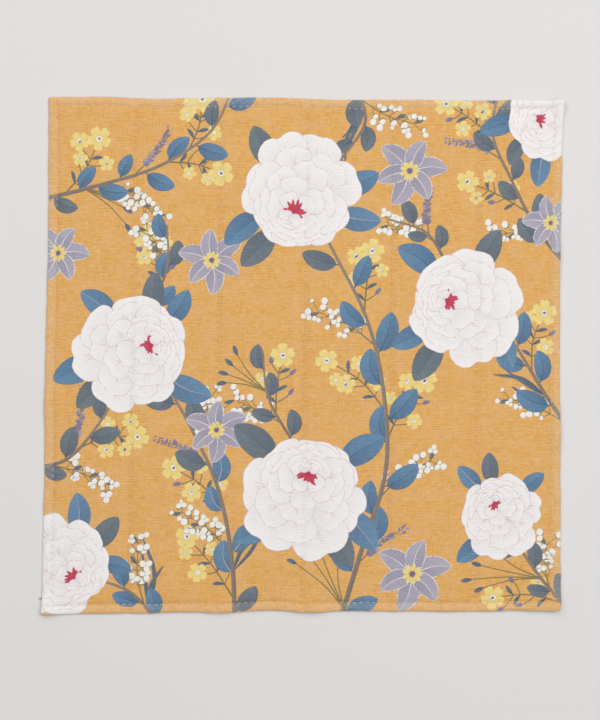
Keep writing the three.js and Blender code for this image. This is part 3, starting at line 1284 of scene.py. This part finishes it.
def weave_height(board, x, y, patch):
    """Height of the open weave, about -1 to 1: uneven rows and columns, slubs and fuzz."""
    sway = board.noise(board.join(x * 0.05, y * 0.22, 0.0), 1.0) - 0.5
    lean = board.noise(board.join(x * 0.3, y * 0.04, 7.0), 1.0) - 0.5
    rows = (y + 2.8 * sway) * (2 * math.pi / WEFT_PITCH)
    columns = (x + 1.8 * lean) * (2 * math.pi / WARP_PITCH)
    calm = board.smooth(board.noise(board.join(x * 0.2, y * 0.16, 6.0), 1.0), 0.38, 0.62)
    thick = board.noise(board.join(x * 0.25, y * 0.74, 3.0), 1.0) - 0.5
    tight = board.noise(board.join(x * 0.8, y * 0.25, 5.0), 1.0) - 0.5
    fine = board.noise(board.join(x * 1.2, y * 1.6, 0.0), 1.0, 3.0) - 0.5
    weft = rows.sine() * (0.2 + 0.7 * calm) * (1 - 0.6 * patch) + 4.2 * thick
    warp = columns.sine() * (0.1 + 0.5 * patch) + 3.0 * tight
    return 0.5 * weft + 0.45 * warp + 1.0 * fine


def needle_holes(board, cloth, x, y):
    """1 in the middle of each needle hole of the seams where they are strained, and 0 elsewhere."""
    from_seam = abs((x / cloth.channel + 0.5).fraction() - 0.5) * cloth.channel
    along_seam = abs(((y - cloth.hem) / cloth.stitch_pitch + 0.5).fraction() - 0.5)
    from_hole = from_seam + along_seam * cloth.stitch_pitch
    strained = board.smooth(board.noise(board.join(x * 0.1, y * 0.3, 15.0), 1.0), 0.3, 0.6)
    return (1 - board.smooth(from_hole, 0.2, 0.6)) * (0.3 + 0.7 * strained)


def gauze_material(colours, cloth):
    """Layered open gauze, printed on its top face."""
    board = Board("printed_gauze")
    x, y, side = board.split(board.attribute("cut"))
    patch = board.smooth(board.noise(board.join(x * 0.1, y * 0.1, 9.0), 1.0), 0.4, 0.62)
    weave = weave_height(board, x, y, patch)
    edge = x.least(cloth.width - x).least(y).least(cloth.length - y)
    in_hem = 1 - board.smooth(edge, cloth.hem - 0.9, cloth.hem + 0.4)
    at_rim = 1 - board.smooth(edge, 0.1, 0.9)

    drift = board.noise(board.join(x * 0.1, y * 0.14, 12.0), 1.0, 4.0)
    # Painted shade: the ground turns to its darker colour where the weave lies low, in the hollows
    # between the threads
    high = board.smooth(weave, -1.0, 0.9)
    ground = board.mix(high, linear(colours.ground_shaded), linear(colours.ground))
    ground = board.mix(0.5 * board.smooth(drift, 0.38, 0.64), ground, linear(colours.ground_dull))
    colour = printed_colour(board, colours, ground)

    # Paler where the weave stands high: partly pale lint on the threads, partly a painted highlight
    # on the crowns of the threads
    lint_and_highlight = board.smooth(weave, 0.1, 1.3)
    specks = board.smooth(board.noise(board.join(x * 0.9, y * 0.9, 4.0), 1.0, 3.0), 0.5, 0.68)
    paling = 0.12 * lint_and_highlight + in_hem * (0.07 + 0.17 * specks) + 0.2 * at_rim
    colour = board.mix(paling, colour, linear(colours.cream))

    # Painted shade in the seams' needle holes, weaker on the white print
    _, _, blue = board.split(colour)
    on_white = board.smooth(blue, 0.4, 0.7)
    needle_hole_shade = needle_holes(board, cloth, x, y) * (1 - in_hem) * (1 - 0.7 * on_white)
    # Painted shade and light: the colour darkens where the weave lies low and lightens where it
    # stands high, and darkens in the needle holes
    colour = board.scaled(colour, (0.975 + 0.055 * weave) * (1 - 0.4 * needle_hole_shade))

    back = board.mix(0.06 + 0.1 * patch, linear(colours.back), linear(colours.ground))
    colour = board.mix(board.smooth(side, 0.3, 0.6), back, colour)
    roughness = 0.9 - 0.06 * board.smooth(weave, -1, 1)
    return board.finish(colour, roughness, board.bump(0.09 * weave, 1.0, MM), sheen=0.06)


def printed_thread_material(colours, pitch):
    """Quilting thread that was sewn before the cloth was printed, so that it carries the print."""
    board = Board("printed_thread")
    x, y, _ = board.split(board.object_place())
    twist = ((x + y) * (2 * math.pi / pitch)).sine()
    colour = printed_colour(board, colours, linear(colours.ground))
    colour = board.mix(0.1, colour, linear(colours.cream))
    # Painted shade and light along the twist of the thread, which the bump also follows
    colour = board.scaled(colour, 0.98 + 0.04 * twist)
    return board.finish(colour, 0.86 + 0.03 * twist, board.bump(twist, 0.5, 0.1 * MM), sheen=0.06)


def thread_material(name, colour, pitch):
    """Twisted sewing thread."""
    board = Board(name)
    place = board.object_place()
    x, y, z = board.split(place)
    twist = ((x + y) * (2 * math.pi / pitch) + 900 * z).sine()
    fuzz = board.noise(place, 4000.0) - 0.5
    # Painted shade and light along the twist of the thread; the fuzz is an uneven tone of the fibres
    colour = board.scaled(linear(colour)[:3], 0.88 + 0.1 * twist + 0.12 * fuzz)
    return board.finish(colour, 0.85 + 0.1 * fuzz, board.bump(twist, 0.6, 0.1 * MM), sheen=0.1)


def table_material(colour):
    """A pale, even surface with a faint grain."""
    board = Board("pale_table")
    grain = board.noise(board.object_place(), 260.0, 3.0)
    colour = board.scaled(linear(colour)[:3], 0.99 + 0.02 * grain)
    return board.finish(colour, 0.75, board.bump(grain, 0.1, 0.05 * MM))


def mesh_from(name, bm):
    """A mesh with what is in a bmesh, which is freed."""
    mesh = bpy.data.meshes.new(name)
    bm.to_mesh(mesh)
    bm.free()
    return mesh


def add_piece(name, mesh, material):
    """Puts a finished mesh in the scene as a piece that rides on the cloth's body."""
    mesh.materials.append(material)
    piece = bpy.data.objects.new(name, mesh)
    bpy.context.scene.collection.objects.link(piece)
    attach(piece, "root")
    return piece


def sheet_mesh(cloth):
    """A closed sheet from two grids, which are bridged round the rim, and its top's point count."""
    across = grid_lines(cloth.width, TOP_RIM_LINES, TOP_PITCH)
    along = grid_lines(cloth.length, TOP_RIM_LINES, TOP_PITCH)
    under_across = grid_lines(cloth.width, UNDER_RIM_LINES, UNDER_PITCH)
    under_along = grid_lines(cloth.length, UNDER_RIM_LINES, UNDER_PITCH)
    bm = bmesh.new()
    bmesh.ops.create_grid(bm, x_segments=len(across) - 1, y_segments=len(along) - 1, size=1)
    top_count = len(bm.verts)
    under = bmesh.ops.create_grid(
        bm, x_segments=len(under_across) - 1, y_segments=len(under_along) - 1, size=1
    )
    bmesh.ops.translate(bm, verts=under["verts"], vec=(0, 0, -0.1))
    rim = [edge for edge in bm.edges if edge.is_boundary]
    bmesh.ops.bridge_loops(bm, edges=rim)
    bmesh.ops.recalc_face_normals(bm, faces=bm.faces)
    mesh = mesh_from("gauze_cloth", bm)

    x, y = (v.ravel() for v in np.meshgrid(across, along))
    under_x, under_y = (v.ravel() for v in np.meshgrid(under_across, under_along))
    places = np.vstack([cloth.on_top(x, y), cloth.on_under(under_x, under_y)])
    mesh.vertices.foreach_set("co", (places * MM).ravel())
    top_cut = np.stack([x, y, np.ones_like(x)], 1)
    under_cut = np.stack([under_x, under_y, np.zeros_like(under_x)], 1)
    finish_mesh(mesh, np.vstack([top_cut, under_cut]))
    return mesh, top_count


def finish_mesh(mesh, cut):
    """Notes each point's place on the cut square and its side, and smooths the shading."""
    mesh.attributes.new("cut", "FLOAT_VECTOR", "POINT").data.foreach_set("vector", cut.ravel())
    mesh.polygons.foreach_set("use_smooth", np.ones(len(mesh.polygons), bool))
    mesh.update()


def corners_of(mesh):
    """Each face's first corner and its number of corners, and each corner's point."""
    first = np.empty(len(mesh.polygons), int)
    mesh.polygons.foreach_get("loop_start", first)
    count = np.empty(len(mesh.polygons), int)
    mesh.polygons.foreach_get("loop_total", count)
    point = np.empty(len(mesh.loops), int)
    mesh.loops.foreach_get("vertex_index", point)
    return first, count, point


def cut_places(mesh):
    cut = np.empty(3 * len(mesh.vertices))
    mesh.attributes["cut"].data.foreach_get("vector", cut)
    return cut.reshape(-1, 3)[:, :2]


def print_on(mesh, cloth, middles=None):
    """Writes the print's layers to a mesh's faces and corners.

    A face takes the cell of the print that its middle is in, or the place given for it."""
    across, along, forms, inks = settled_print(cloth.width, cloth.length)
    first, count, point = corners_of(mesh)
    place = cut_places(mesh)[point]
    if middles is None:
        middles = np.add.reduceat(place, first) / count[:, None]
    column = np.clip(np.searchsorted(across, middles[:, 0]) - 1, 0, len(across) - 2)
    row = np.clip(np.searchsorted(along, middles[:, 1]) - 1, 0, len(along) - 2)
    face = np.repeat(np.arange(len(count)), count)
    left = across[column][face]
    low = along[row][face]
    s = (place[:, 0] - left) / (across[column + 1][face] - left)
    t = (place[:, 1] - low) / (along[row + 1][face] - low)
    s = np.clip(s, -1, 2)[:, None]
    t = np.clip(t, -1, 2)[:, None]
    for layer in range(LAYERS):
        cell = forms[layer, row, column][face]
        lower = cell[:, 0, 0] * (1 - s) + cell[:, 0, 1] * s
        upper = cell[:, 1, 0] * (1 - s) + cell[:, 1, 1] * s
        form = (lower * (1 - t) + upper * t).astype(np.float32)
        attribute = mesh.attributes.new(f"form_{layer}", "FLOAT_COLOR", "CORNER")
        attribute.data.foreach_set("color", form.ravel())
        attribute = mesh.attributes.new(f"ink_{layer}", "FLOAT", "FACE")
        attribute.data.foreach_set("value", inks[layer, row, column])


def unfold(mesh, top_count, cloth):
    """A UV map with the top face on most of it and the underside in the strip above."""
    first, count, point = corners_of(mesh)
    place = cut_places(mesh)[point] / (cloth.width, cloth.length)
    under = point >= top_count
    all_under = np.repeat(np.logical_and.reduceat(under, first), count)
    some_under = np.repeat(np.logical_or.reduceat(under, first), count)
    rim = some_under & ~all_under
    outward = np.where(rim & under, RIM_ON_MAP, 1.0)[:, None]
    spread = 0.5 + (place - 0.5) * outward
    top_uv = np.array(TOP_ON_MAP[0]) + spread * TOP_ON_MAP[1]
    under_uv = np.array(UNDER_ON_MAP[0]) + place * UNDER_ON_MAP[1]
    uv = np.where(all_under[:, None], under_uv, top_uv)
    layer = mesh.uv_layers.new(name="OFBake", do_init=False)
    layer.uv.foreach_set("vector", uv.astype(np.float32).ravel())


def stitch_places(cloth, rows):
    """Each stitch's middle on the cut square and its heading there, along straight rows."""
    middles = []
    aheads = []
    for start, end in rows:
        start = np.array(start, float)
        end = np.array(end, float)
        whole = float(np.hypot(*(end - start)))
        ahead = (end - start) / whole
        k = np.arange(int(whole / cloth.stitch_pitch))[:, None]
        waver = 0.12 * np.sin(1.7 * k) + 0.1 * np.sin(0.61 * k + 2)
        along = (k + 0.5) * cloth.stitch_pitch
        middles.append(start + along * ahead + waver * np.array([-ahead[1], ahead[0]]))
        aheads.append(np.tile(ahead, (len(k), 1)))
    return np.vstack(middles), np.vstack(aheads)


def stitches_mesh(name, cloth, sizes, rows):
    """Running stitches, each a small bead of thread, and every face's place on the cut square."""
    middles, aheads = stitch_places(cloth, rows)
    bm = bmesh.new()
    bmesh.ops.create_uvsphere(
        bm, u_segments=6, v_segments=5, radius=0.5, matrix=Matrix.Rotation(math.pi / 2, 4, "Y")
    )
    bead = mesh_from("bead", bm)
    faces = len(bead.polygons)
    bm = bmesh.new()
    for _ in middles:
        bm.from_mesh(bead)
    bpy.data.meshes.remove(bead)
    mesh = mesh_from(name, bm)

    laid = cloth.on_top(*middles.T)
    run = cloth.on_top(*(middles + aheads).T) - cloth.on_top(*(middles - aheads).T)
    forward = run / np.linalg.norm(run, axis=1)[:, None]
    sideways = np.cross((0, 0, 1), forward)
    sideways = sideways / np.linalg.norm(sideways, axis=1)[:, None]
    upward = np.cross(forward, sideways)
    shape = np.empty(3 * len(mesh.vertices))
    mesh.vertices.foreach_get("co", shape)
    shape = shape.reshape(len(middles), -1, 3) / MM
    shape = shape * (sizes.stitch_length, sizes.thread_width, 0.8 * sizes.thread_width)
    offset = (
        shape[..., :1] * forward[:, None]
        + shape[..., 1:2] * sideways[:, None]
        + shape[..., 2:] * upward[:, None]
    )
    places = laid[:, None] + offset
    mesh.vertices.foreach_set("co", (places * MM).ravel())
    flat_cut = (middles[:, None] + offset[..., :2]).reshape(-1, 2)
    finish_mesh(mesh, np.hstack([flat_cut, np.ones((len(flat_cut), 1))]))
    return mesh, np.repeat(middles, faces, axis=0)


def thread_end_mesh(cloth):
    """A limp end of thread that leaves the left edge and thins towards its tip."""
    start_x, start_y = cloth.wavered_spot(0.8, LOOSE_END["up"])
    level = float(cloth.lift(0.0, LOOSE_END["up"])) + 0.6 * RIM_HEIGHT
    foot = Matrix.Translation((start_x, start_y, level)) @ Matrix.Rotation(math.pi / 2, 4, "Y")
    steps = LOOSE_END["steps"]
    bm = bmesh.new()
    bmesh.ops.create_circle(bm, segments=8, radius=LOOSE_END["radius"], matrix=foot)
    edges = list(bm.edges)
    bmesh.ops.contextual_create(bm, geom=edges)
    for k in range(steps):
        grown = bmesh.ops.extrude_edge_only(bm, edges=edges)["geom"]
        ring = [part for part in grown if isinstance(part, bmesh.types.BMVert)]
        edges = [part for part in grown if isinstance(part, bmesh.types.BMEdge)]
        share = (k + 1) / steps
        drop = -LOOSE_END["droop"] / steps if share > 0.3 else 0.0
        sideways = 0.16 * math.sin(5 * share)
        bmesh.ops.translate(bm, verts=ring, vec=(-LOOSE_END["length"] / steps, sideways, drop))
        if share > 0.6:
            to_middle = Matrix.Translation(-sum((v.co for v in ring), Vector()) / len(ring))
            bmesh.ops.scale(bm, verts=ring, vec=(0.9, 0.8, 0.8), space=to_middle)
    bmesh.ops.contextual_create(bm, geom=edges)
    bmesh.ops.scale(bm, verts=bm.verts, vec=(MM, MM, MM))
    bmesh.ops.recalc_face_normals(bm, faces=bm.faces)
    mesh = mesh_from("loose_thread", bm)
    mesh.polygons.foreach_set("use_smooth", np.ones(len(mesh.polygons), bool))
    return mesh


class TOWEL_OT_cloth(bpy.types.Operator):
    """Lays out the gauze cloth with its hem, its channels and its print"""

    bl_idname = "towel.cloth"
    bl_label = "Lay Cloth"

    def execute(self, context):
        cloth = LaidCloth(context.scene.towel_sizes)
        mesh, top_count = sheet_mesh(cloth)
        print_on(mesh, cloth)
        unfold(mesh, top_count, cloth)
        material = gauze_material(context.scene.towel_colours, cloth)
        piece = add_piece("gauze_cloth", mesh, material)
        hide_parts("cloth")
        return {"FINISHED"}


class TOWEL_OT_stitching(bpy.types.Operator):
    """Sews the channel seams and the hem"""

    bl_idname = "towel.stitching"
    bl_label = "Sew Seams and Hem"

    def execute(self, context):
        sizes = context.scene.towel_sizes
        colours = context.scene.towel_colours
        cloth = LaidCloth(sizes)
        near = cloth.hem
        far_x = cloth.width - near
        far_y = cloth.length - near
        seams = [((seam, near), (seam, far_y)) for seam in cloth.seams]
        mesh, middles = stitches_mesh("seam_stitches", cloth, sizes, seams)
        print_on(mesh, cloth, middles)
        add_piece("seam_stitches", mesh, printed_thread_material(colours, 0.6 * MM))
        corners = ((near, near), (far_x, near), (far_x, far_y), (near, far_y))
        sides = [(corners[k], corners[(k + 1) % 4]) for k in range(4)]
        mesh, _ = stitches_mesh("hem_stitches", cloth, sizes, sides)
        thread = thread_material("sewing_thread", colours.thread, 0.6 * MM)
        add_piece("hem_stitches", mesh, thread)
        return {"FINISHED"}


class TOWEL_OT_loose_thread(bpy.types.Operator):
    """Leaves a thread end that stands out of the left edge"""

    bl_idname = "towel.loose_thread"
    bl_label = "Leave Thread End"

    def execute(self, context):
        mesh = thread_end_mesh(LaidCloth(context.scene.towel_sizes))
        thread = thread_material("loose_thread", context.scene.towel_colours.loose_thread, 0.5 * MM)
        add_piece("loose_thread", mesh, thread)
        return {"FINISHED"}


class TOWEL_OT_stage(bpy.types.Operator):
    """Sets the table, the lights and the camera"""

    bl_idname = "towel.stage"
    bl_label = "Set Stage"

    def execute(self, context):
        scene = context.scene
        self.lay_table(scene)
        self.set_lights(scene)
        self.set_camera(scene, LaidCloth(scene.towel_sizes))
        return {"FINISHED"}

    def lay_table(self, scene):
        bm = bmesh.new()
        bmesh.ops.create_grid(bm, x_segments=1, y_segments=1, size=TABLE_REACH)
        bmesh.ops.translate(bm, verts=bm.verts, vec=(0, 0, -TABLE_GAP * MM))
        mesh = mesh_from("table", bm)
        mesh.materials.append(table_material(scene.towel_colours.table))
        table = bpy.data.objects.new("table", mesh)
        scene.collection.objects.link(table)

    def set_lights(self, scene):
        """A pale sky, and square soft lights that point at the cloth."""
        world = bpy.data.worlds.new("studio")
        world.use_nodes = True
        sky = world.node_tree.nodes["Background"].inputs
        sky["Color"].default_value = SKY["colour"]
        sky["Strength"].default_value = SKY["strength"]
        scene.world = world
        scene.view_settings.view_transform = "Standard"
        for light in LIGHTS:
            lamp = bpy.data.lights.new(light["name"], "AREA")
            lamp.size = light["size"]
            lamp.energy = light["power"]
            holder = bpy.data.objects.new(light["name"], lamp)
            holder.location = light["place"]
            holder.rotation_euler = (-Vector(light["place"])).to_track_quat("-Z", "Y").to_euler()
            scene.collection.objects.link(holder)

    def set_camera(self, scene, cloth):
        """A camera right over the photo's middle, with the photo's height in its frame."""
        camera = bpy.data.cameras.new("camera")
        from_cloth = CAMERA_HEIGHT - cloth.thickness * MM
        camera.lens = camera.sensor_width * from_cloth / (FRAME_HEIGHT * MM)
        holder = bpy.data.objects.new("camera", camera)
        across = (FRAME_MIDDLE[0] - cloth.middle[0]) * MM
        along = (FRAME_MIDDLE[1] - cloth.middle[1]) * MM
        holder.location = (across, along, CAMERA_HEIGHT)
        scene.collection.objects.link(holder)
        scene.camera = holder


class TOWEL_PT_panel(bpy.types.Panel):
    """Lists the steps that build the tea towel"""

    bl_idname = "TOWEL_PT_panel"
    bl_label = "Tea Towel"
    bl_space_type = "VIEW_3D"
    bl_region_type = "UI"
    bl_category = "Tea Towel"

    def draw(self, context):
        column = self.layout.column()
        for operator in OPERATORS:
            column.operator(operator.bl_idname)
        for name in TowelSizes.__annotations__:
            column.prop(context.scene.towel_sizes, name)
        for name in TowelColours.__annotations__:
            column.prop(context.scene.towel_colours, name)


OPERATORS = (TOWEL_OT_cloth, TOWEL_OT_stitching, TOWEL_OT_loose_thread, TOWEL_OT_stage)
CLASSES = (TowelSizes, TowelColours, *OPERATORS, TOWEL_PT_panel)


def register():
    for cls in CLASSES:
        bpy.utils.register_class(cls)
    bpy.types.Scene.towel_sizes = bpy.props.PointerProperty(type=TowelSizes)
    bpy.types.Scene.towel_colours = bpy.props.PointerProperty(type=TowelColours)


def unregister():
    del bpy.types.Scene.towel_colours
    del bpy.types.Scene.towel_sizes
    for cls in reversed(CLASSES):
        bpy.utils.unregister_class(cls)


def main():
    """Builds every piece in order."""
    register()
    bpy.ops.towel.cloth()
    bpy.ops.towel.stitching()
    bpy.ops.towel.loose_thread()
    bpy.ops.towel.stage()


if __name__ == "__main__":
    main()
